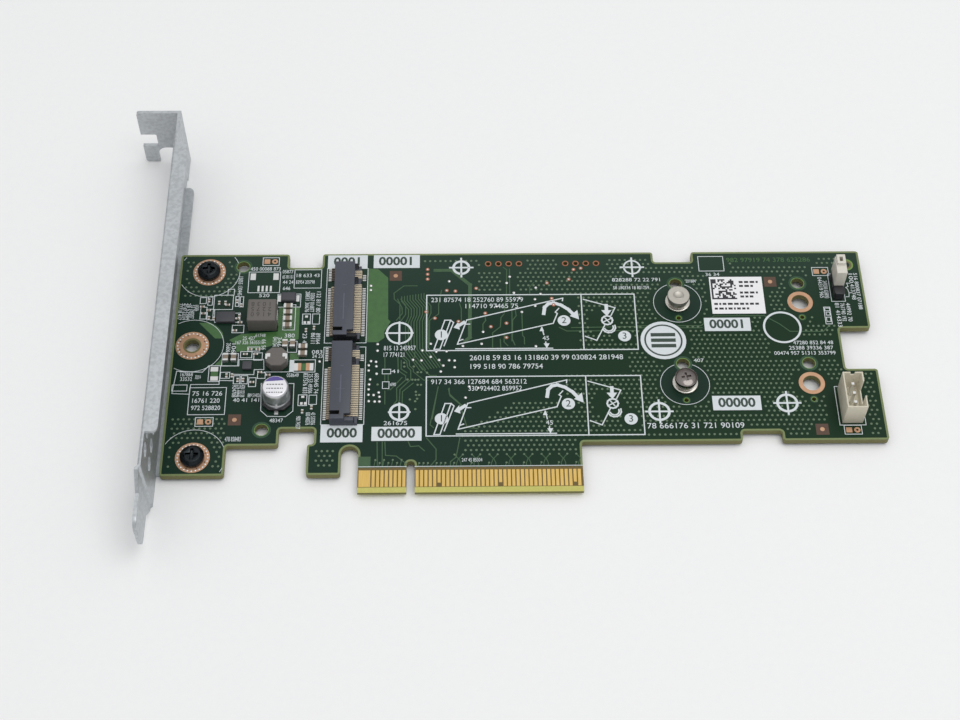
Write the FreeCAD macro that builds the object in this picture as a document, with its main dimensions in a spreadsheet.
import FreeCAD, Part
import math
import os
from types import SimpleNamespace

import Sketcher

# Adapter card that carries two drive sticks: a circuit board with a contact tongue,
# a folded bracket, two sockets with their standoffs, and the power parts that feed them.
# Frame: X along the board from the key slot, Y up from the contact edge, Z = 0 on the
# component side, +Z away from the board. Lengths are millimetres.

SIZES = {
    # Circuit board outline
    "board_length": 168.05,
    "board_height": 67.8,
    "board_thickness": 1.57,
    "board_corner": 0.7,
    "key_from_left": 57.25,
    "key_width": 1.9,
    "key_depth": 8.0,
    "key_corner": 0.85,
    "tongue_left": 12.05,
    "tongue_right": 39.4,
    "bevel_length": 1.2,
    "bevel_depth": 0.35,
    "shoulder_height": 12.9,
    "foot_height": 4.6,
    "foot_width": 14.6,
    "step_height": 12.5,
    "hook_left": 26.6,
    "hook_width": 8.3,
    "hook_height": 17.0,
    "hook_lip": 1.55,
    "hook_lip_height": 12.7,
    "relief_width": 4.05,
    "relief_height": 12.1,
    "relief_corner": 1.98,
    "near_notch_left": 26.8,
    "near_notch_width": 8.2,
    "near_notch_depth": 4.2,
    "far_notch_inset": 41.75,
    "far_notch_width": 9.5,
    "far_notch_depth": 3.1,
    "side_notch_low": 32.6,
    "side_notch_height": 11.9,
    "side_notch_depth": 7.6,
    "low_notch_inset": 24.6,
    "low_notch_width": 9.35,
    "low_notch_depth": 2.65,
    # Board holes that carry no piece
    "tooling_hole": 3.0,
    "tooling_high_x": 15.5,
    "tooling_high_drop": 3.8,
    "tooling_low_x": 22.6,
    "tooling_low_y": 16.7,
    "spare_x": 4.75,
    "spare_y": 40.5,
    "spare_header_hole": 1.1,
    "spare_header_drop": 3.3,
    "spare_header_near_x": 18.65,
    "spare_header_far_x": 37.75,
    "spare_header_pitch": 2.54,
    # Gold edge contacts
    "contact_pitch": 1.0,
    "contact_width": 0.7,
    "contact_length": 4.35,
    "contact_rise": 1.3,
    "contact_thickness": 0.05,
    "contact_from_key": 1.5,
    "contacts_left": 11,
    "contacts_right": 38,
    "short_contact_gap": 1.0,
    # Folded bracket
    "sheet": 0.85,
    "bracket_gap": 1.05,
    "bracket_width": 18.42,
    "bend_radius": 0.6,
    "tab_height": 101.6,
    "tab_reach": 10.5,
    "tab_overhang": 1.4,
    "tab_shoulder": 95.0,
    "tab_corner": 0.8,
    "tab_slot_depth": 3.95,
    "tab_slot_low": 4.7,
    "tab_slot_high": 9.0,
    "tab_slot_corner": 0.35,
    "tab_arch_from_plate": 1.5,
    "tab_arch_width": 5.4,
    "tab_arch_height": 4.0,
    "tab_arch_corner": 2.35,
    "flange_low": 6.7,
    "flange_high": 90.7,
    "flange_depth": 3.7,
    "flange_corner": 1.5,
    "ledge_depth": 2.95,
    "ear_half_width": 3.6,
    "ear_margin": 3.8,
    "ear_corner": 3.25,
    "set_out": 0.5,
    "set_out_height": -2.0,
    "tongue_drop": 14.7,
    "taper_start": -3.0,
    "taper_run": 3.6,
    "taper_inset": 4.1,
    "tongue_corner": 2.4,
    "vent_width": 3.2,
    "vent_first": 3.8,
    "vent_pitch": 4.8,
    "vent_rows": 18,
    "vent_column_pitch": 6.2,
    # Bracket screws
    "mount_x": 7.25,
    "mount_low_y": 9.35,
    "mount_high_drop": 5.4,
    "screw_thread": 2.9,
    "screw_clearance": 0.5,
    "thread_clearance": 0.1,
    "screw_head": 5.6,
    "screw_head_height": 1.8,
    "screw_head_round": 0.8,
    "recess_width": 0.7,
    "recess_length": 3.0,
    "recess_depth": 0.9,
    # Drive lanes
    "lane_low_y": 28.65,
    "lane_pitch": 23.65,
    "socket_rear": 18.9,
    "stand_from_socket": 83.5,
    "long_stand_step": 30.05,
    "guide_hole": 3.0,
    "guide_hole_rise": 5.7,
    "pilot_hole": 1.1,
    "pilot_hole_drop": 4.55,
    # Drive sockets
    "socket_length": 21.9,
    "socket_height": 3.2,
    "jaw_depth": 6.4,
    "jaw_height": 1.1,
    "lip_depth": 4.9,
    "lip_thickness": 0.9,
    "slot_back": 2.0,
    "cheek": 1.1,
    "cheek_depth": 5.7,
    "key_wall": 1.3,
    "key_wall_y": 6.15,
    "lip_notch": 1.5,
    "peg": 1.1,
    "peg_length": 1.2,
    "peg_x": 3.2,
    "peg_spread": 8.9,
    "peg_clearance": 0.1,
    "lead_width": 0.26,
    "lead_pitch": 0.5,
    "lead_thickness": 0.15,
    "lead_foot": 0.9,
    "lead_rear_height": 0.35,
    "leads_below_key": 29,
    "leads_above_key": 5,
    "lead_key_gap": 0.45,
    # Standoffs and drive screws
    "stand_base": 6.05,
    "stand_base_height": 0.7,
    "stand_neck": 4.6,
    "stand_height": 1.5,
    "stand_stem": 4.0,
    "stand_stem_length": 1.3,
    "stand_clearance": 0.2,
    "stand_bore": 2.7,
    "drive_screw_clearance": 0.1,
    "drive_screw_head": 5.3,
    "drive_screw_head_height": 1.1,
    "drive_screw_length": 2.3,
    "drive_recess_width": 0.55,
    "drive_recess_length": 2.4,
    "drive_recess_depth": 0.5,
    # Jumper header
    "jumper_inset": 6.7,
    "jumper_y": 56.6,
    "jumper_pitch": 2.54,
    "jumper_width": 2.5,
    "jumper_height": 2.54,
    "jumper_pin": 0.64,
    "jumper_pin_top": 4.3,
    "pin_tail": 0.8,
    "pin_hole_clearance": 0.4,
    "shunt_width": 2.5,
    "shunt_length": 5.0,
    "shunt_height": 5.1,
    "shunt_wall": 0.55,
    "shunt_cap_width": 2.1,
    "shunt_cap_length": 2.7,
    "shunt_cap_height": 6.0,
    "shunt_hole_width": 0.8,
    "shunt_hole_length": 1.3,
    "clip_thickness": 0.18,
    "clip_height": 4.2,
    # Wire header
    "wire_inset": 7.98,
    "wire_y": 22.3,
    "wire_width": 4.8,
    "wire_length": 9.8,
    "wire_height": 7.0,
    "wire_wall": 0.36,
    "wire_floor": 1.0,
    "wire_gap": 4.0,
    "wire_gap_shift": 0.3,
    "wire_gap_depth": 4.2,
    "wire_notch": 1.0,
    "wire_notch_depth": 0.9,
    "wire_pitch": 2.5,
    "wire_pin_top": 4.6,
    # Power inductor
    "inductor_x": 35.9,
    "inductor_y": 47.7,
    "inductor_width": 6.9,
    "inductor_depth": 6.4,
    "inductor_height": 4.65,
    "inductor_edge": 0.3,
    "inductor_strap": 3.0,
    "inductor_strap_height": 2.4,
    "inductor_strap_foot": 1.6,
    "strap_thickness": 0.15,
    # Small inductor
    "coil_x": 31.95,
    "coil_y": 35.6,
    "coil_width": 5.2,
    "coil_height": 2.6,
    "coil_cut": 1.4,
    "coil_strap": 1.5,
    "coil_strap_depth": 0.5,
    # Solid capacitor
    "can_x": 31.45,
    "can_y": 25.0,
    "can_diameter": 6.3,
    "can_height": 5.0,
    "can_round": 0.4,
    "can_groove": 0.25,
    "can_groove_height": 1.0,
    "can_base_width": 6.6,
    "can_base_height": 0.7,
    "can_base_cut": 1.5,
    "can_lead_width": 0.9,
    "can_lead_length": 2.4,
    "can_lead_out": 0.9,
    # Chips
    "regulator_x": 45.0,
    "regulator_y": 48.4,
    "regulator_width": 4.5,
    "regulator_depth": 3.0,
    "regulator_height": 0.95,
    "small_regulator_x": 39.0,
    "small_regulator_y": 34.4,
    "small_regulator_width": 2.2,
    "small_regulator_height": 0.8,
    "package_x": 30.1,
    "package_y": 54.2,
    "package_width": 3.6,
    "package_depth": 2.6,
    "package_height": 1.3,
    "package_draft": 0.3,
    "package_lead": 0.8,
    "package_lead_width": 1.9,
    "package_lead_thickness": 0.2,
    # Chip parts: long side, short side, height, end cap
    "cap_length": 2.1,
    "cap_width": 1.25,
    "cap_height": 1.1,
    "cap_end": 0.5,
    "mite_length": 1.1,
    "mite_width": 0.55,
    "mite_height": 0.4,
    "mite_end": 0.28,
    "body_inset": 0.03,
    # Paper label
    "label_x": 79.45,
    "label_y": 54.45,
    "label_width": 13.0,
    "label_height": 11.1,
    "label_thickness": 0.1,
    # Solder side
    "controller_x": 2.0,
    "controller_y": 34.0,
    "controller_width": 9.0,
    "controller_height": 0.85,
    "flash_x": 16.0,
    "flash_y": 34.0,
    "flash_width": 6.0,
    "flash_depth": 5.0,
    "flash_height": 0.75,
    "crystal_x": 2.0,
    "crystal_y": 25.5,
    "crystal_width": 3.2,
    "crystal_depth": 2.5,
    "crystal_height": 0.7,
}

# Places of the repeated chip parts, as x, y and whether the part stands along Y
CAP_COLUMN_X = -30.0
CAP_COLUMN_Y = (51.5, 49.7, 47.8, 45.9)
CAP_PLACES = [(CAP_COLUMN_X, y, False) for y in CAP_COLUMN_Y] + [
    (-30.3, 40.5, True),
    (-28.5, 40.5, True),
    (-25.95, 39.6, False),
    (-25.95, 37.6, False),
    (-44.2, 36.6, True),
    (-42.3, 36.6, True),
]
MITE_PLACES = [
    (-49.4, 53.6, True),
    (-46.9, 52.9, True),
    (-45.4, 52.9, True),
    (-42.6, 53.3, True),
    (-41.5, 52.1, True),
    (-49.1, 48.4, True),
    (-47.9, 48.2, True),
    (-41.8, 48.9, True),
    (-42.6, 44.7, False),
    (-39.6, 37.8, False),
    (-37.2, 37.8, False),
    (-35.9, 32.6, False),
    (-43.7, 31.7, True),
    (-42.4, 31.7, True),
    (-41.0, 30.4, True),
    (-39.7, 30.4, True),
    (-37.6, 29.8, False),
    (-25.5, 44.6, True),
    (-23.6, 45.3, True),
    (-25.4, 21.5, True),
    (-23.3, 22.6, True),
]
BACK_MITE_X = (-4.4, 8.4)
BACK_MITE_Y = (31.0, 34.0, 37.0)

LANES = 2
MOUNTS = 2
STANDS = 2
PEGS = 2
JUMPER_PINS = 2
WIRE_PINS = 3
SPARE_HEADER_HOLES = 4
VENT_COLUMNS = 2
WIDE_CONTACTS = 3
SHORT_CONTACTS = (5, 19, 36)
SHANK_SIDES = 8
HOLE_SIDES = 12
SMALL_HOLE_SIDES = 8
NEAR = 0.001
PLANE_XY = "XY_Plane"
PLANE_XZ = "XZ_Plane"
PLANE_YZ = "YZ_Plane"
ALONG_X = 0
ALONG_Y = 1
ALONG_Z = 2
HEX_TURN = math.pi / 3

doc = FreeCAD.newDocument("adapter_card")
sheet = doc.addObject("Spreadsheet::Sheet", "Sizes")
pieces = []


class Dim:
    """A length that carries its number and the sheet formula behind it."""

    def __init__(self, value, formula):
        self.value = value
        self.formula = formula

    def __add__(self, other):
        other = dim(other)
        return Dim(self.value + other.value, f"({self.formula} + {other.formula})")

    def __sub__(self, other):
        other = dim(other)
        return Dim(self.value - other.value, f"({self.formula} - {other.formula})")

    def __mul__(self, factor):
        return Dim(self.value * factor, f"({self.formula} * {factor})")

    def __truediv__(self, factor):
        return Dim(self.value / factor, f"({self.formula} / {factor})")

    def __neg__(self):
        return Dim(-self.value, f"(0 - {self.formula})")


def dim(length):
    """Give a plain number the same form as a sheet length."""
    if isinstance(length, Dim):
        return length
    return Dim(length, repr(length))


def fill_sheet():
    """Write the driving sizes in the sheet and return them by name."""
    named = {}
    for row, (alias, value) in enumerate(SIZES.items(), 1):
        sheet.set(f"A{row}", alias)
        sheet.set(f"B{row}", str(value))
        sheet.setAlias(f"B{row}", alias)
        named[alias] = Dim(value, f"Sizes.{alias}")
    return SimpleNamespace(**named)


def bind(item, name, length):
    """Drive one property of an object by the sheet."""
    item.setExpression(name, dim(length).formula)


def place(item, x, y, z):
    """Drive the place of an object by the sheet."""
    for axis, length in zip("xyz", (x, y, z)):
        bind(item, f"Placement.Base.{axis}", length)


def piece(item, label):
    """Keep a finished sub-part under its own label."""
    item.Label = label
    pieces.append(item)
    return item


def new_body(name):
    return doc.addObject("PartDesign::Body", name)


def origin_item(body, role):
    """Find one of a body's own planes or axes."""
    return [item for item in body.Origin.OriginFeatures if item.Role == role][0]


def sketch(body, name, plane, lift=0):
    """Start a sketch on a plane of the body, lifted along the plane's normal."""
    item = body.newObject("Sketcher::SketchObject", name)
    item.AttachmentSupport = [(origin_item(body, plane), "")]
    item.MapMode = "FlatFace"
    bind(item, "AttachmentOffset.Base.z", lift)
    return item


def hold(item, constraint, length):
    """Add one constraint to a sketch and drive it by the sheet."""
    number = item.addConstraint(Sketcher.Constraint(*constraint, dim(length).value))
    item.renameConstraint(number, f"size{number}")
    bind(item, f"Constraints.size{number}", length)


def polygon(item, points):
    """Draw a closed outline whose corners follow the sheet."""
    first = item.GeometryCount
    corners = [FreeCAD.Vector(dim(x).value, dim(y).value, 0) for x, y in points]
    ends = corners[1:] + corners[:1]
    for start, end in zip(corners, ends):
        item.addGeometry(Part.LineSegment(start, end))
    last = item.GeometryCount - 1
    for number, (x, y) in enumerate(points, first):
        following = first if number == last else number + 1
        item.addConstraint(Sketcher.Constraint("Coincident", number, 2, following, 1))
        hold(item, ("DistanceX", -1, 1, number, 1), x)
        hold(item, ("DistanceY", -1, 1, number, 1), y)
    return item


def rectangle(item, left, low, right, high):
    return polygon(item, [(left, low), (right, low), (right, high), (left, high)])


def circle(item, x, y, diameter):
    """Draw a circle whose centre and size follow the sheet."""
    centre = FreeCAD.Vector(dim(x).value, dim(y).value, 0)
    round_line = Part.Circle(centre, FreeCAD.Vector(0, 0, 1), dim(diameter).value / 2)
    number = item.addGeometry(round_line)
    hold(item, ("DistanceX", -1, 1, number, 3), x)
    hold(item, ("DistanceY", -1, 1, number, 3), y)
    hold(item, ("Diameter", number), diameter)
    return item


def flat_round(item, x, y, diameter, sides):
    """Draw a round as an outline with flat sides and the same width."""
    half_turn = math.pi / sides
    radius = dim(diameter) / (2 * math.cos(half_turn))
    turns = [half_turn * (2 * side + 1) for side in range(sides)]
    polygon(item, [(dim(x) + radius * math.cos(turn), dim(y) + radius * math.sin(turn)) for turn in turns])
    return item


def pad(body, profile, length, middle=False):
    """Raise a sketch into material."""
    item = body.newObject("PartDesign::Pad", f"{profile.Name}_pad")
    item.Profile = profile
    item.SideType = "Symmetric" if middle else "One side"
    bind(item, "Length", length)
    return item


def pocket(body, profile):
    """Cut a sketch right through the body, both ways."""
    item = body.newObject("PartDesign::Pocket", f"{profile.Name}_cut")
    item.Profile = profile
    item.Type = "ThroughAll"
    item.SideType = "Symmetric"
    return item


def pattern(body, feature, role, pitch, count):
    """Repeat a feature in a row."""
    item = body.newObject("PartDesign::LinearPattern", f"{feature.Name}_row")
    item.Originals = [feature]
    item.Direction = (origin_item(body, role), [""])
    item.Mode = "Spacing"
    bind(item, "Offset", pitch)
    bind(item, "Occurrences", count)
    body.Tip = item
    return item


def edges(feature, axis, spots):
    """Name the straight edges along an axis that pass through the given spots."""
    others = [number for number in range(3) if number != axis]
    names = []
    for number, edge in enumerate(feature.Shape.Edges, 1):
        ends = [vertex.Point for vertex in edge.Vertexes]
        if len(ends) != 2 or abs(abs((ends[1] - ends[0])[axis]) - edge.Length) > NEAR:
            continue
        for spot in spots:
            gaps = [abs(ends[0][k] - dim(v).value) for k, v in zip(others, spot)]
            if max(gaps) < NEAR:
                names.append(f"Edge{number}")
    return names


def round_edges(body, name, feature, axis, spots, radius):
    """Round the edges along an axis at the given spots."""
    doc.recompute()
    item = body.newObject("PartDesign::Fillet", name)
    item.Base = (feature, edges(feature, axis, spots))
    bind(item, "Radius", radius)
    return item


def block(name, length, width, height, x=0, y=0, z=0):
    """A box centred on x and y that stands on z."""
    item = doc.addObject("Part::Box", name)
    bind(item, "Length", length)
    bind(item, "Width", width)
    bind(item, "Height", height)
    place(item, dim(x) - dim(length) / 2, dim(y) - dim(width) / 2, z)
    return item


def rod(name, diameter, height, x=0, y=0, z=0):
    """An upright cylinder that stands on z."""
    item = doc.addObject("Part::Cylinder", name)
    bind(item, "Radius", dim(diameter) / 2)
    bind(item, "Height", height)
    place(item, x, y, z)
    return item


def shank(name, diameter, height, x=0, y=0, z=0):
    """An upright flat-sided rod within a diameter, for an end that sits hidden in its hole."""
    item = doc.addObject("Part::Prism", name)
    item.Polygon = SHANK_SIDES
    bind(item, "Circumradius", dim(diameter) / 2)
    bind(item, "Height", height)
    place(item, x, y, z)
    return item


def fuse(name, *parts):
    item = doc.addObject("Part::MultiFuse", name)
    item.Shapes = list(parts)
    return item


def cut(name, base, *tools):
    item = doc.addObject("Part::Cut", name)
    item.Base = base
    item.Tool = tools[0] if len(tools) == 1 else fuse(f"{name}_tools", *tools)
    return item


def group(name, parts):
    """Separate solids of one kind that share a node."""
    item = doc.addObject("Part::Compound", name)
    item.Links = list(parts)
    return item


s = fill_sheet()
board_left = -s.key_from_left
board_right = s.board_length - s.key_from_left
under_board = -s.board_thickness
lanes = {str(step): s.lane_low_y + s.lane_pitch * step for step in range(LANES)}
socket_x = -s.socket_rear
stand_x = socket_x + s.stand_from_socket
long_stand_x = stand_x + s.long_stand_step
stand_hole = s.stand_stem + s.stand_clearance
mount_x = board_left + s.mount_x
mount_high_y = s.board_height - s.mount_high_drop
mount_hole = s.screw_thread + s.screw_clearance
jumper_x = board_right - s.jumper_inset
wire_x = board_right - s.wire_inset
pin_hole = s.jumper_pin + s.pin_hole_clearance
jumper_pin_rows = [s.jumper_y + s.jumper_pitch * step for step in range(JUMPER_PINS)]
wire_rows = [s.wire_y + s.wire_pitch * (step - (WIRE_PINS - 1) / 2) for step in range(WIRE_PINS)]


def board_outline():
    """Corners of the board from its left edge, counter-clockwise from the lower left foot."""
    hook_right = s.hook_left + s.hook_width
    leg_left = hook_right - s.hook_lip
    tongue_start = s.key_from_left - s.tongue_left
    relief_left = tongue_start - s.relief_width
    key_left = s.key_from_left - s.key_width / 2
    key_right = s.key_from_left + s.key_width / 2
    tongue_end = s.key_from_left + s.tongue_right
    low_right = s.board_length - s.low_notch_inset
    low_left = low_right - s.low_notch_width
    low_top = s.shoulder_height + s.low_notch_depth
    side_x = s.board_length - s.side_notch_depth
    side_high = s.side_notch_low + s.side_notch_height
    far_right = s.board_length - s.far_notch_inset
    far_left = far_right - s.far_notch_width
    far_low = s.board_height - s.far_notch_depth
    near_right = s.near_notch_left + s.near_notch_width
    near_low = s.board_height - s.near_notch_depth
    foot = [
        (0, s.foot_height),
        (s.foot_width, s.foot_height),
        (s.foot_width, s.step_height),
        (s.hook_left, s.step_height),
        (s.hook_left, s.hook_height),
        (hook_right, s.hook_height),
        (hook_right, s.hook_lip_height),
        (leg_left, s.hook_lip_height),
        (leg_left, s.foot_height),
        (relief_left, s.foot_height),
    ]
    relief = [(relief_left, s.relief_height), (tongue_start, s.relief_height)]
    key = [(key_left, s.key_depth), (key_right, s.key_depth)]
    tongue = [(tongue_start, 0), (key_left, 0), *key, (key_right, 0), (tongue_end, 0)]
    rest = [
        (tongue_end, s.shoulder_height),
        (low_left, s.shoulder_height),
        (low_left, low_top),
        (low_right, low_top),
        (low_right, s.shoulder_height),
        (s.board_length, s.shoulder_height),
        (s.board_length, s.side_notch_low),
        (side_x, s.side_notch_low),
        (side_x, side_high),
        (s.board_length, side_high),
        (s.board_length, s.board_height),
        (far_right, s.board_height),
        (far_right, far_low),
        (far_left, far_low),
        (far_left, s.board_height),
        (near_right, s.board_height),
        (near_right, near_low),
        (s.near_notch_left, near_low),
        (s.near_notch_left, s.board_height),
        (0, s.board_height),
    ]
    return foot, relief, tongue, key, rest


def board_holes():
    """The board's open mounting holes as x, y and diameter in the card's frame."""
    holes = [(board_left + s.spare_x, s.spare_y, mount_hole)]
    return holes + [(long_stand_x, lane_y, stand_hole) for lane_y in lanes.values()]


def other_holes(body):
    """Cut the holes that are filled or only locate: one flat-sided hole each, some in rows."""
    tooling_high_y = s.board_height - s.tooling_high_drop
    mount_pair = ("Y_Axis", mount_high_y - s.mount_low_y, MOUNTS)
    lane_pair = ("Y_Axis", s.lane_pitch, LANES)
    wide = [
        ("mount_holes", mount_x, s.mount_low_y, mount_hole, mount_pair),
        ("tooling_hole_high", board_left + s.tooling_high_x, tooling_high_y, s.tooling_hole, None),
        ("tooling_hole_low", board_left + s.tooling_low_x, s.tooling_low_y, s.tooling_hole, None),
        ("stand_holes", stand_x, s.lane_low_y, stand_hole, lane_pair),
        ("guide_holes", stand_x, s.lane_low_y + s.guide_hole_rise, s.guide_hole, lane_pair),
        ("long_guide_holes", long_stand_x, s.lane_low_y + s.guide_hole_rise, s.guide_hole, lane_pair),
    ]
    header_y = s.board_height - s.spare_header_drop
    header_row = ("X_Axis", s.spare_header_pitch, SPARE_HEADER_HOLES)
    stand_pair = ("X_Axis", s.long_stand_step, STANDS)
    peg_pair = ("Y_Axis", s.peg_spread * 2, PEGS)
    small = [
        ("spare_header_near", s.spare_header_near_x, header_y, s.spare_header_hole, header_row),
        ("spare_header_far", s.spare_header_far_x, header_y, s.spare_header_hole, header_row),
        ("jumper_holes", jumper_x, jumper_pin_rows[0], pin_hole, ("Y_Axis", s.jumper_pitch, JUMPER_PINS)),
        ("wire_holes", wire_x, wire_rows[0], pin_hole, ("Y_Axis", s.wire_pitch, WIRE_PINS)),
    ]
    for lane, lane_y in lanes.items():
        small.append((f"pilot_holes_{lane}", stand_x, lane_y - s.pilot_hole_drop, s.pilot_hole,
                      stand_pair))
        small.append((f"peg_holes_{lane}", socket_x + s.peg_x, lane_y - s.peg_spread,
                      s.peg + s.peg_clearance, peg_pair))
    for sides, holes in ((HOLE_SIDES, wide), (SMALL_HOLE_SIDES, small)):
        for name, x, y, diameter, steps in holes:
            outline = sketch(body, name, PLANE_XY)
            flat_round(outline, x - board_left, y, diameter, sides)
            hole = pocket(body, outline)
            if steps:
                pattern(body, hole, *steps)


def make_board():
    """Routed board with a bevelled contact tongue, a key slot and all its holes."""
    body = new_body("board")
    foot, relief, tongue, key, rest = board_outline()
    outline = polygon(sketch(body, "board_outline", PLANE_XY), foot + relief + tongue + rest)
    plate = pad(body, outline, s.board_thickness)
    corners = foot + rest
    softened = round_edges(body, "board_corners", plate, ALONG_Z, corners, s.board_corner)
    rounded = round_edges(body, "relief_round", softened, ALONG_Z, relief, s.relief_corner)
    round_edges(body, "key_round", rounded, ALONG_Z, key, s.key_corner)
    low_face = s.bevel_depth
    high_face = s.board_thickness - s.bevel_depth
    bevels = sketch(body, "bevels", PLANE_YZ)
    polygon(bevels, [(0, 0), (s.bevel_length, 0), (0, low_face)])
    polygon(bevels, [(0, high_face), (s.bevel_length, s.board_thickness), (0, s.board_thickness)])
    pocket(body, bevels)
    holes = sketch(body, "board_holes", PLANE_XY)
    for x, y, diameter in board_holes():
        circle(holes, x - board_left, y, diameter)
    pocket(body, holes)
    other_holes(body)
    place(body, board_left, 0, under_board)
    piece(body, "circuit_board")


def make_contacts(label, z, special=False):
    """One face's row of gold contacts on both sides of the key, with its wide and short ones."""
    body = new_body(f"{label}_row")
    half = s.contact_width / 2
    high = s.contact_rise + s.contact_length
    sides = (("left", -s.contact_from_key, -s.contact_pitch, s.contacts_left),
             ("right", s.contact_from_key, s.contact_pitch, s.contacts_right))
    for side, x, pitch, count in sides:
        outline = sketch(body, f"{label}_{side}", PLANE_XY)
        rectangle(outline, x - half, s.contact_rise, x + half, high)
        bar = pad(body, outline, s.contact_thickness)
        row = pattern(body, bar, "X_Axis", s.contact_pitch, count)
        row.Reversed = pitch.value < 0
    if special:
        wide_left = -s.contact_from_key - s.contact_pitch * (SIZES["contacts_left"] - 1) - half
        wide_right = wide_left + s.contact_pitch * (WIDE_CONTACTS - 1) + s.contact_width
        outline = sketch(body, f"{label}_wide", PLANE_XY)
        rectangle(outline, wide_left, s.contact_rise, wide_right, high)
        pad(body, outline, s.contact_thickness)
        outline = sketch(body, f"{label}_short", PLANE_XY)
        for number in SHORT_CONTACTS:
            x = s.contact_from_key + s.contact_pitch * number
            rectangle(outline, x - half, s.contact_rise, x + half, s.contact_rise + s.short_contact_gap)
        pocket(body, outline)
    place(body, 0, 0, z)
    piece(body, label)


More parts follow.
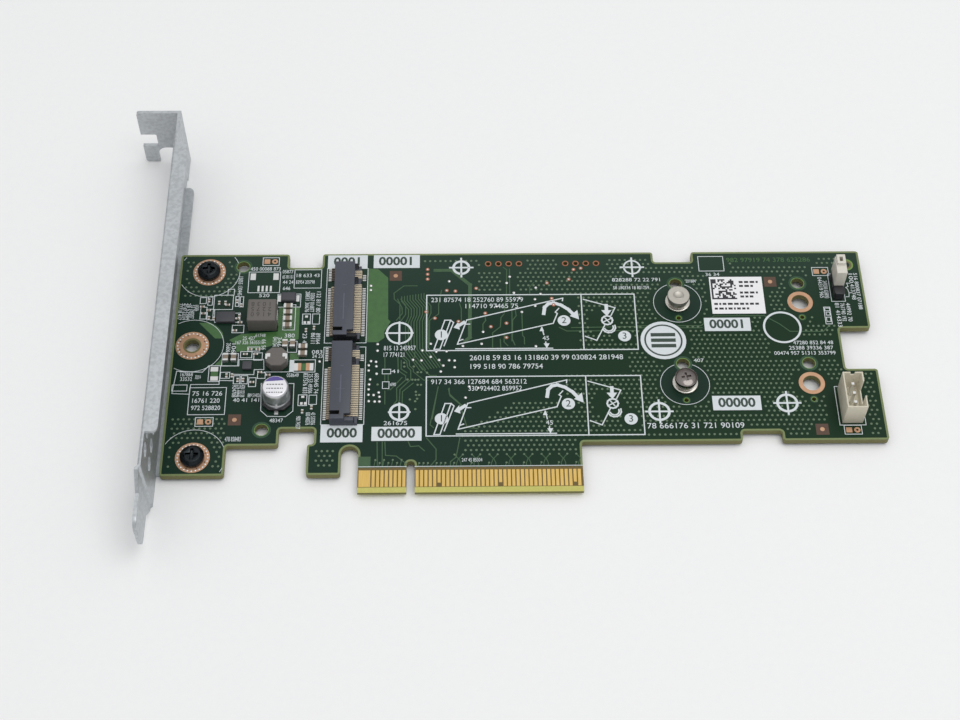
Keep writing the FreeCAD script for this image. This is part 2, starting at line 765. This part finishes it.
def make_bracket():
    """Bracket folded from one sheet: tab, plate, two flanges with ears, and tongue."""
    body = new_body("folded_bracket")
    outer = board_left - s.bracket_gap - s.sheet
    tab_top = s.tab_height + s.sheet
    tongue_in = s.sheet - s.set_out
    set_low = s.set_out_height - s.set_out
    fold = sketch(body, "bracket_fold", PLANE_XY, -s.tab_overhang)
    polygon(fold, [
        (-s.tab_reach, s.tab_height),
        (0, s.tab_height),
        (0, s.set_out_height),
        (-s.set_out, set_low),
        (-s.set_out, -s.tongue_drop),
        (tongue_in, -s.tongue_drop),
        (tongue_in, set_low),
        (s.sheet, s.set_out_height),
        (s.sheet, tab_top),
        (-s.tab_reach, tab_top),
    ])
    pad(body, fold, s.bracket_width + s.tab_overhang)
    below_tip = -s.tongue_drop - s.sheet
    above_plate = s.bracket_width + s.sheet
    below_plate = -s.tab_overhang - s.sheet
    taper_end = s.taper_start - s.taper_run
    upper_inset = s.bracket_width - s.taper_inset
    trim = sketch(body, "plate_trim", PLANE_YZ)
    polygon(trim, [
        (s.tab_shoulder, below_plate),
        (s.tab_shoulder, 0),
        (s.taper_start, 0),
        (taper_end, s.taper_inset),
        (below_tip, s.taper_inset),
        (below_tip, below_plate),
    ])
    tab_upper = s.bracket_width - s.tab_overhang
    above_tab = tab_top + s.sheet
    rectangle(trim, s.tab_shoulder, tab_upper, above_tab, above_plate)
    polygon(trim, [
        (s.taper_start, above_plate),
        (s.taper_start, s.bracket_width),
        (taper_end, upper_inset),
        (below_tip, upper_inset),
        (below_tip, above_plate),
    ])
    pocket(body, trim)
    slot_end = s.tab_slot_depth - s.tab_reach
    arch_right = -s.tab_arch_from_plate
    arch_left = arch_right - s.tab_arch_width
    tab_cuts = sketch(body, "tab_cuts", PLANE_XZ)
    rectangle(tab_cuts, -s.tab_reach - s.sheet, s.tab_slot_low, slot_end, s.tab_slot_high)
    rectangle(tab_cuts, arch_left, below_plate, arch_right, s.tab_arch_height)
    tab = pocket(body, tab_cuts)
    arch_top = [(arch_left, s.tab_arch_height), (arch_right, s.tab_arch_height)]
    arch = round_edges(body, "arch_round", tab, ALONG_Y, arch_top, s.tab_arch_corner)
    slot_corners = [(slot_end, s.tab_slot_low), (slot_end, s.tab_slot_high)]
    slot = round_edges(body, "slot_round", arch, ALONG_Y, slot_corners, s.tab_slot_corner)
    tab_corners = [(-s.tab_reach, -s.tab_overhang), (-s.tab_reach, tab_upper)]
    slot = round_edges(body, "tab_round", slot, ALONG_Y, tab_corners, s.tab_corner)
    tip = [(-s.tongue_drop, s.taper_inset), (-s.tongue_drop, upper_inset)]
    round_edges(body, "tip_round", slot, ALONG_X, tip, s.tongue_corner)
    flange = sketch(body, "bracket_flange", PLANE_XY, s.bracket_width - s.sheet)
    rectangle(flange, 0, s.flange_low, s.flange_depth, s.flange_high)
    upper = pad(body, flange, s.sheet)
    flange_ends = [(s.flange_depth, s.flange_low), (s.flange_depth, s.flange_high)]
    softened = round_edges(body, "flange_round", upper, ALONG_Z, flange_ends, s.flange_corner)
    ear_x = mount_x - outer
    ear_end = ear_x + s.ear_margin
    ears = [(y - s.ear_half_width, y + s.ear_half_width) for y in (s.mount_low_y, mount_high_y)]
    ledge = sketch(body, "bracket_ledge", PLANE_XY)
    polygon(ledge, [
        (0, ears[0][0]),
        (ear_end, ears[0][0]),
        (ear_end, ears[0][1]),
        (s.ledge_depth, ears[0][1]),
        (s.ledge_depth, ears[1][0]),
        (ear_end, ears[1][0]),
        (ear_end, ears[1][1]),
        (s.ledge_depth, ears[1][1]),
        (s.ledge_depth, s.flange_high),
        (0, s.flange_high),
    ])
    lower = pad(body, ledge, s.sheet)
    ear_corners = [(ear_end, y) for pair in ears for y in pair]
    eared = round_edges(body, "ear_round", lower, ALONG_Z, ear_corners, s.ear_corner)
    ledge_end = [(s.ledge_depth, s.flange_high)]
    ended = round_edges(body, "ledge_round", eared, ALONG_Z, ledge_end, s.flange_corner)
    folds = [(0, 0), (0, s.bracket_width)]
    round_edges(body, "bend_round", ended, ALONG_Y, folds, s.bend_radius)
    holes = sketch(body, "ear_holes", PLANE_XY)
    for y in (s.mount_low_y, mount_high_y):
        flat_round(holes, ear_x, y, s.screw_thread + s.thread_clearance, HOLE_SIDES)
    threaded = body.newObject("PartDesign::Pocket", "ear_holes_cut")
    threaded.Profile = holes
    threaded.Reversed = True
    bind(threaded, "Length", s.sheet)
    vents = sketch(body, "vents", PLANE_YZ)
    vent_radius = s.vent_width / math.sqrt(3)
    for column in range(VENT_COLUMNS):
        z = s.bracket_width / 2 + s.vent_column_pitch * column
        polygon(vents, [(s.vent_first + vent_radius * math.cos(turn * HEX_TURN),
                         z + vent_radius * math.sin(turn * HEX_TURN)) for turn in range(6)])
    pattern(body, pocket(body, vents), "Y_Axis", s.vent_pitch, s.vent_rows)
    place(body, outer, 0, under_board - s.sheet)
    piece(body, "bracket")


def cross_recess(name, width, length, depth, top):
    """The tool that cuts a cross recess into a screw head."""
    low = top - depth
    return fuse(name, block(f"{name}_a", width, length, depth, 0, 0, low),
                block(f"{name}_b", length, width, depth, 0, 0, low))


def make_bracket_screw(label, y):
    """Pan head screw through the board into a bracket ear."""
    body = new_body(f"{label}_turned")
    radius = s.screw_head / 2
    thread = s.screw_thread / 2
    end = under_board - s.sheet
    low_round = s.screw_head_height - s.screw_head_round
    profile = sketch(body, f"{label}_profile", PLANE_XZ)
    polygon(profile, [
        (0, end),
        (thread, end),
        (thread, 0),
        (radius, 0),
        (radius, low_round),
        (radius - s.screw_head_round, s.screw_head_height),
        (0, s.screw_head_height),
    ])
    turned = body.newObject("PartDesign::Revolution", f"{label}_turn")
    turned.Profile = profile
    turned.ReferenceAxis = (profile, ["V_Axis"])
    recess = cross_recess(f"{label}_recess", s.recess_width, s.recess_length,
                          s.recess_depth, s.screw_head_height)
    screw = cut(f"{label}_cut", body, recess)
    place(screw, mount_x, y, 0)
    piece(screw, label)


def make_socket(name, lane_y):
    """Socket housing: a jaw, a lip over it, end cheeks, the key wall and two pegs."""
    body = new_body(f"socket_{name}")
    half = s.socket_length / 2
    lip_low = s.socket_height - s.lip_thickness
    section = sketch(body, f"socket_{name}_section", PLANE_XZ)
    polygon(section, [
        (0, 0),
        (s.jaw_depth, 0),
        (s.jaw_depth, s.jaw_height),
        (s.slot_back, s.jaw_height),
        (s.slot_back, lip_low),
        (s.lip_depth, lip_low),
        (s.lip_depth, s.socket_height),
        (0, s.socket_height),
    ])
    pad(body, section, s.socket_length, middle=True)
    walls = sketch(body, f"socket_{name}_walls", PLANE_XY, s.jaw_height)
    rectangle(walls, s.slot_back, -half, s.cheek_depth, s.cheek - half)
    rectangle(walls, s.slot_back, half - s.cheek, s.cheek_depth, half)
    key_low = s.key_wall_y - s.key_wall / 2
    key_high = s.key_wall_y + s.key_wall / 2
    rectangle(walls, s.slot_back, key_low, s.cheek_depth, key_high)
    pad(body, walls, lip_low - s.jaw_height)
    notch = sketch(body, f"socket_{name}_notch", PLANE_XY, s.socket_height)
    notch_x = s.lip_depth - s.lip_notch
    rectangle(notch, notch_x, -half, s.lip_depth, s.lip_notch - half)
    shallow = body.newObject("PartDesign::Pocket", f"socket_{name}_notch_cut")
    shallow.Profile = notch
    bind(shallow, "Length", s.lip_thickness)
    pegs = sketch(body, f"socket_{name}_pegs", PLANE_XY)
    for y in (-s.peg_spread, s.peg_spread):
        flat_round(pegs, s.peg_x, y, s.peg, SMALL_HOLE_SIDES)
    pins = pad(body, pegs, s.peg_length)
    pins.Reversed = True
    place(body, socket_x, lane_y, 0)
    piece(body, f"m2_socket_housing_{name}")


def make_socket_leads(name, lane_y):
    """Contacts of a socket: springs over the jaw and down its front, and rear feet."""
    body = new_body(f"leads_{name}")
    thick = s.lead_thickness
    front = s.jaw_depth + thick
    top = s.jaw_height + thick
    below_first = s.key_wall_y - s.key_wall / 2 - s.lead_key_gap
    above_first = s.key_wall_y + s.key_wall / 2 + s.lead_key_gap
    rows = (("below", below_first, s.leads_below_key, True),
            ("above", above_first, s.leads_above_key, False))
    for side, first_y, count, downwards in rows:
        spring = sketch(body, f"spring_{name}_{side}", PLANE_XZ, -first_y)
        polygon(spring, [
            (s.jaw_depth, 0),
            (front, 0),
            (front, top),
            (s.slot_back, top),
            (s.slot_back, s.jaw_height),
            (s.jaw_depth, s.jaw_height),
        ])
        strip = pad(body, spring, s.lead_width, middle=True)
        row = pattern(body, strip, "Y_Axis", s.lead_pitch, count)
        row.Reversed = downwards
        foot = sketch(body, f"foot_{name}_{side}", PLANE_XZ, -first_y)
        rectangle(foot, -s.lead_foot, 0, 0, s.lead_rear_height)
        heel = pad(body, foot, s.lead_width, middle=True)
        row = pattern(body, heel, "Y_Axis", s.lead_pitch, count)
        row.Reversed = downwards
    place(body, socket_x, lane_y, 0)
    piece(body, f"m2_socket_contacts_{name}")


def make_standoff(name, lane_y):
    """Threaded standoff soldered into its board hole, and the drive screw in it."""
    label = f"standoff_{name}"
    column = fuse(f"{label}_column",
                  rod(f"{label}_base", s.stand_base, s.stand_base_height),
                  rod(f"{label}_neck", s.stand_neck, s.stand_height),
                  shank(f"{label}_stem", s.stand_stem, s.stand_stem_length, 0, 0, -s.stand_stem_length))
    through = s.stand_height + s.stand_stem_length
    bore = rod(f"{label}_bore", s.stand_bore, through, 0, 0, -s.stand_stem_length)
    standoff = cut(f"{label}_cut", column, bore)
    place(standoff, stand_x, lane_y, 0)
    piece(standoff, label)
    label = f"drive_screw_{name}"
    thread = s.stand_bore - s.drive_screw_clearance
    top = s.drive_screw_head_height
    solid = fuse(f"{label}_solid",
                 rod(f"{label}_head", s.drive_screw_head, top),
                 shank(f"{label}_shank", thread, s.drive_screw_length, 0, 0, -s.drive_screw_length))
    recess = cross_recess(f"{label}_recess", s.drive_recess_width, s.drive_recess_length,
                          s.drive_recess_depth, top)
    screw = cut(f"{label}_cut", solid, recess)
    place(screw, stand_x, lane_y, s.stand_height)
    piece(screw, label)


def make_jumper():
    """Three place pin header with two pins, the white shunt on them and its clip."""
    holes = [block(f"jumper_hole_{n}", s.jumper_pin, s.jumper_pin, s.jumper_height, jumper_x, y)
             for n, y in enumerate(jumper_pin_rows)]
    body = new_body("jumper_base")
    half = s.jumper_width / 2
    nip = half - s.jumper_pin / 2
    outline = sketch(body, "jumper_outline", PLANE_XY)
    right = []
    left = []
    half_pitch = s.jumper_pitch / 2
    for step in (-1, 0, 1):
        low = s.jumper_pitch * step - half_pitch
        high = s.jumper_pitch * step + half_pitch
        right += [(nip, low), (half, low + nip / 2), (half, high - nip / 2)]
        left += [(-nip, low), (-half, low + nip / 2), (-half, high - nip / 2)]
    end_y = s.jumper_pitch + half_pitch
    polygon(outline, right + [(nip, end_y), (-nip, end_y)] + left[::-1])
    pad(body, outline, s.jumper_height)
    place(body, jumper_x, s.jumper_y, 0)
    piece(cut("jumper_base_cut", body, *holes), "jumper_header_base")
    tail = under_board - s.pin_tail
    pin_height = s.jumper_height + s.jumper_pin_top - tail
    parts = [block(f"jumper_pin_{n}", s.jumper_pin, s.jumper_pin, pin_height, jumper_x, y, tail)
             for n, y in enumerate(jumper_pin_rows)]
    piece(group("jumper_pins", parts), "jumper_header_pins")
    shunt_y = s.jumper_y + half_pitch
    shell = block("shunt_shell", s.shunt_width, s.shunt_length, s.shunt_height,
                  jumper_x, shunt_y, s.jumper_height)
    cap_y = shunt_y + s.shunt_length / 2 - s.shunt_cap_length / 2
    cap = block("shunt_cap", s.shunt_cap_width, s.shunt_cap_length, s.shunt_cap_height,
                jumper_x, cap_y, s.jumper_height)
    inner_width = s.shunt_width - s.shunt_wall * 2
    inner_length = s.shunt_length - s.shunt_wall * 2
    hollow = block("shunt_hollow", inner_width, inner_length, s.shunt_height - s.shunt_wall,
                   jumper_x, shunt_y, s.jumper_height)
    hole = block("shunt_hole", s.shunt_hole_width, s.shunt_hole_length, s.shunt_cap_height,
                 jumper_x, cap_y, s.jumper_height)
    piece(cut("shunt_cut", fuse("shunt_body", shell, cap), hollow, hole), "jumper_shunt")
    clip_outer = block("clip_outer", inner_width, inner_length, s.clip_height,
                       jumper_x, shunt_y, s.jumper_height)
    clip_hollow = block("clip_hollow", inner_width - s.clip_thickness * 2,
                        inner_length - s.clip_thickness * 2, s.clip_height,
                        jumper_x, shunt_y, s.jumper_height)
    piece(cut("clip_cut", clip_outer, clip_hollow), "jumper_shunt_clip")


def make_wire_header():
    """Shrouded wire header: open box with a gap in one side, an end notch and three pins."""
    shell = block("wire_shell", s.wire_width, s.wire_length, s.wire_height, wire_x, s.wire_y)
    inner_width = s.wire_width - s.wire_wall * 2
    inner_length = s.wire_length - s.wire_wall * 2
    deep = s.wire_height - s.wire_floor
    tools = [block("wire_hollow", inner_width, inner_length, deep, wire_x, s.wire_y, s.wire_floor)]
    wall_x = wire_x + s.wire_width / 2 - s.wire_wall / 2
    tools.append(block("wire_gap_tool", s.wire_wall, s.wire_gap, s.wire_gap_depth,
                       wall_x, s.wire_y + s.wire_gap_shift, s.wire_height - s.wire_gap_depth))
    end_y = s.wire_y + s.wire_length / 2 - s.wire_wall / 2
    notch_z = s.wire_height - s.wire_notch_depth
    tools.append(block("wire_notch_tool", s.wire_notch, s.wire_wall, s.wire_notch_depth,
                       wire_x, end_y, notch_z))
    for n, y in enumerate(wire_rows):
        tools.append(block(f"wire_hole_{n}", s.jumper_pin, s.jumper_pin, s.wire_floor, wire_x, y))
    piece(cut("wire_housing_cut", shell, *tools), "wire_header_housing")
    tail = under_board - s.pin_tail
    height = s.wire_floor + s.wire_pin_top - tail
    pins = [block(f"wire_pin_{n}", s.jumper_pin, s.jumper_pin, height, wire_x, y, tail)
            for n, y in enumerate(wire_rows)]
    piece(group("wire_pins", pins), "wire_header_pins")


def chamfer_top(body, feature, name, size):
    """Break the edges round the top face of a body."""
    doc.recompute()
    top = feature.Shape.BoundBox.ZMax
    names = []
    for number, edge in enumerate(feature.Shape.Edges, 1):
        if all(abs(vertex.Z - top) < NEAR for vertex in edge.Vertexes):
            names.append(f"Edge{number}")
    item = body.newObject("PartDesign::Chamfer", name)
    item.Base = (feature, names)
    bind(item, "Size", size)


def make_inductors():
    """Power inductor on its straps, and the eight-sided small inductor."""
    body = new_body("inductor_block")
    half_width = s.inductor_width / 2
    half_depth = s.inductor_depth / 2
    outline = sketch(body, "inductor_outline", PLANE_XY)
    rectangle(outline, -half_width, -half_depth, half_width, half_depth)
    core = pad(body, outline, s.inductor_height)
    chamfer_top(body, core, "inductor_edges", s.inductor_edge)
    place(body, -s.inductor_x, s.inductor_y, s.strap_thickness)
    piece(body, "power_inductor_core")
    straps = []
    for side, sign in (("left", -1), ("right", 1)):
        foot_x = (half_width - s.inductor_strap_foot / 2) * sign - s.inductor_x
        wall_x = (half_width + s.strap_thickness / 2) * sign - s.inductor_x
        foot = block(f"strap_foot_{side}", s.inductor_strap_foot, s.inductor_strap,
                     s.strap_thickness, foot_x, s.inductor_y)
        wall = block(f"strap_wall_{side}", s.strap_thickness, s.inductor_strap,
                     s.inductor_strap_height, wall_x, s.inductor_y)
        straps.append(fuse(f"strap_{side}", foot, wall))
    piece(group("inductor_straps", straps), "power_inductor_terminals")
    body = new_body("coil_block")
    half = s.coil_width / 2
    flat = half - s.coil_cut
    strap = s.coil_strap / 2
    notch = half - s.coil_strap_depth
    outline = sketch(body, "coil_outline", PLANE_XY)
    polygon(outline, [
        (flat, -half),
        (half, -flat),
        (half, -strap),
        (notch, -strap),
        (notch, strap),
        (half, strap),
        (half, flat),
        (flat, half),
        (-flat, half),
        (-half, flat),
        (-half, strap),
        (-notch, strap),
        (-notch, -strap),
        (-half, -strap),
        (-half, -flat),
        (-flat, -half),
    ])
    pad(body, outline, s.coil_height)
    place(body, -s.coil_x, s.coil_y, 0)
    piece(body, "small_inductor_core")
    offset = half - s.coil_strap_depth / 2
    ends = [block(f"coil_strap_{n}", s.coil_strap_depth, s.coil_strap, s.coil_height, x, s.coil_y)
            for n, x in enumerate((-offset - s.coil_x, offset - s.coil_x))]
    piece(group("coil_straps", ends), "small_inductor_terminals")


def make_capacitor():
    """Round capacitor can with a crimp groove, on a base with two cut corners and two leads."""
    body = new_body("can")
    radius = s.can_diameter / 2
    groove = s.can_groove
    waist = s.can_groove_height
    top = s.can_height
    profile = sketch(body, "can_profile", PLANE_XZ)
    polygon(profile, [
        (0, 0),
        (radius, 0),
        (radius, waist - groove),
        (radius - groove, waist),
        (radius, waist + groove),
        (radius, top - s.can_round),
        (radius - s.can_round, top),
        (0, top),
    ])
    turned = body.newObject("PartDesign::Revolution", "can_turn")
    turned.Profile = profile
    turned.ReferenceAxis = (profile, ["V_Axis"])
    base_z = s.strap_thickness
    place(body, -s.can_x, s.can_y, base_z + s.can_base_height)
    piece(body, "capacitor_can")
    body = new_body("can_base")
    half = s.can_base_width / 2
    cut_x = half - s.can_base_cut
    outline = sketch(body, "can_base_outline", PLANE_XY)
    polygon(outline, [(-cut_x, -half), (cut_x, -half), (half, -cut_x), (half, half),
                      (-half, half), (-half, -cut_x)])
    pad(body, outline, s.can_base_height)
    place(body, -s.can_x, s.can_y, base_z)
    piece(body, "capacitor_base")
    offset = half + s.can_lead_out - s.can_lead_length / 2
    leads = [block(f"can_lead_{n}", s.can_lead_width, s.can_lead_length, base_z, -s.can_x, y)
             for n, y in enumerate((s.can_y - offset, s.can_y + offset))]
    piece(group("can_leads", leads), "capacitor_leads")


def make_chip(label, x, y, width, depth, height, z):
    """Flat moulded chip on its solder pad."""
    piece(block(f"{label}_block", width, depth, height, x, y, z), label)


def make_package():
    """Black two-lead package with drafted sides."""
    body = new_body("package_block")
    half_width = s.package_width / 2
    half_depth = s.package_depth / 2
    outline = sketch(body, "package_outline", PLANE_XY)
    rectangle(outline, -half_width, -half_depth, half_width, half_depth)
    core = pad(body, outline, s.package_height)
    chamfer_top(body, core, "package_edges", s.package_draft)
    place(body, -s.package_x, s.package_y, 0)
    piece(body, "package_body")
    offset = half_width + s.package_lead / 2
    leads = [block(f"package_lead_{n}", s.package_lead, s.package_lead_width,
                   s.package_lead_thickness, x, s.package_y)
             for n, x in enumerate((-offset - s.package_x, offset - s.package_x))]
    piece(group("package_lead_pair", leads), "package_leads")


def make_chip_parts(stem, places, length, width, height, end, z=0):
    """Ceramic chip parts: a body between two end caps, many of one kind."""
    bodies = []
    caps = []
    span = length - end * 2
    thin = width - s.body_inset * 2
    low = height - s.body_inset * 2
    offset = length / 2 - end / 2
    for number, (x, y, upright) in enumerate(places):
        name = f"{stem}_{number}"
        if upright:
            bodies.append(block(f"{name}_body", thin, span, low, x, y, dim(z) + s.body_inset))
            spots = ((x, dim(y) - offset), (x, dim(y) + offset))
            caps += [block(f"{name}_cap_{n}", width, end, height, *spot, z)
                     for n, spot in enumerate(spots)]
        else:
            bodies.append(block(f"{name}_body", span, thin, low, x, y, dim(z) + s.body_inset))
            spots = ((dim(x) - offset, y), (dim(x) + offset, y))
            caps += [block(f"{name}_cap_{n}", end, width, height, *spot, z)
                     for n, spot in enumerate(spots)]
    piece(group(f"{stem}_bodies", bodies), f"{stem}_ceramics")
    piece(group(f"{stem}_ends", caps), f"{stem}_end_caps")


def check_and_write():
    """Stop on any failed object, then write each sub-part to its own file."""
    doc.recompute()
    failed = [item.Name for item in doc.Objects if {"Invalid", "Error"} & set(item.State)]
    if failed:
        raise RuntimeError(f"objects failed: {failed}")
    for item in pieces:
        if item.Shape.isNull() or not item.Shape.isValid() or not item.Shape.Solids:
            raise RuntimeError(f"no valid solid: {item.Label}")
    os.makedirs("parts", exist_ok=True)
    for item in pieces:
        item.Shape.exportStep(f"parts/{item.Label}.step")


make_board()
make_contacts("edge_contacts_front", 0, special=True)
make_contacts("edge_contacts_back", under_board - s.contact_thickness)
make_bracket()
make_bracket_screw("bracket_screw_lower", s.mount_low_y)
make_bracket_screw("bracket_screw_upper", mount_high_y)
for lane, lane_centre in lanes.items():
    make_socket(lane, lane_centre)
    make_socket_leads(lane, lane_centre)
    make_standoff(lane, lane_centre)
make_jumper()
make_wire_header()
make_inductors()
make_capacitor()
make_chip("power_regulator_chip", -s.regulator_x, s.regulator_y,
          s.regulator_width, s.regulator_depth, s.regulator_height, 0)
make_chip("small_regulator_chip", -s.small_regulator_x, s.small_regulator_y,
          s.small_regulator_width, s.small_regulator_width, s.small_regulator_height, 0)
make_package()
make_chip_parts("chip_capacitor", CAP_PLACES, s.cap_length, s.cap_width, s.cap_height, s.cap_end)
make_chip_parts("chip_mite", MITE_PLACES, s.mite_length, s.mite_width, s.mite_height, s.mite_end)
make_chip("paper_label", s.label_x, s.label_y, s.label_width, s.label_height, s.label_thickness, 0)
make_chip("storage_controller_chip", s.controller_x, s.controller_y, s.controller_width,
          s.controller_width, s.controller_height, under_board - s.controller_height)
make_chip("flash_memory_chip", s.flash_x, s.flash_y, s.flash_width, s.flash_depth,
          s.flash_height, under_board - s.flash_height)
make_chip("crystal", s.crystal_x, s.crystal_y, s.crystal_width, s.crystal_depth,
          s.crystal_height, under_board - s.crystal_height)
back_places = [(x, y, True) for x in BACK_MITE_X for y in BACK_MITE_Y]
make_chip_parts("back_mite", back_places, s.mite_length, s.mite_width, s.mite_height,
                s.mite_end, under_board - s.mite_height)
check_and_write()
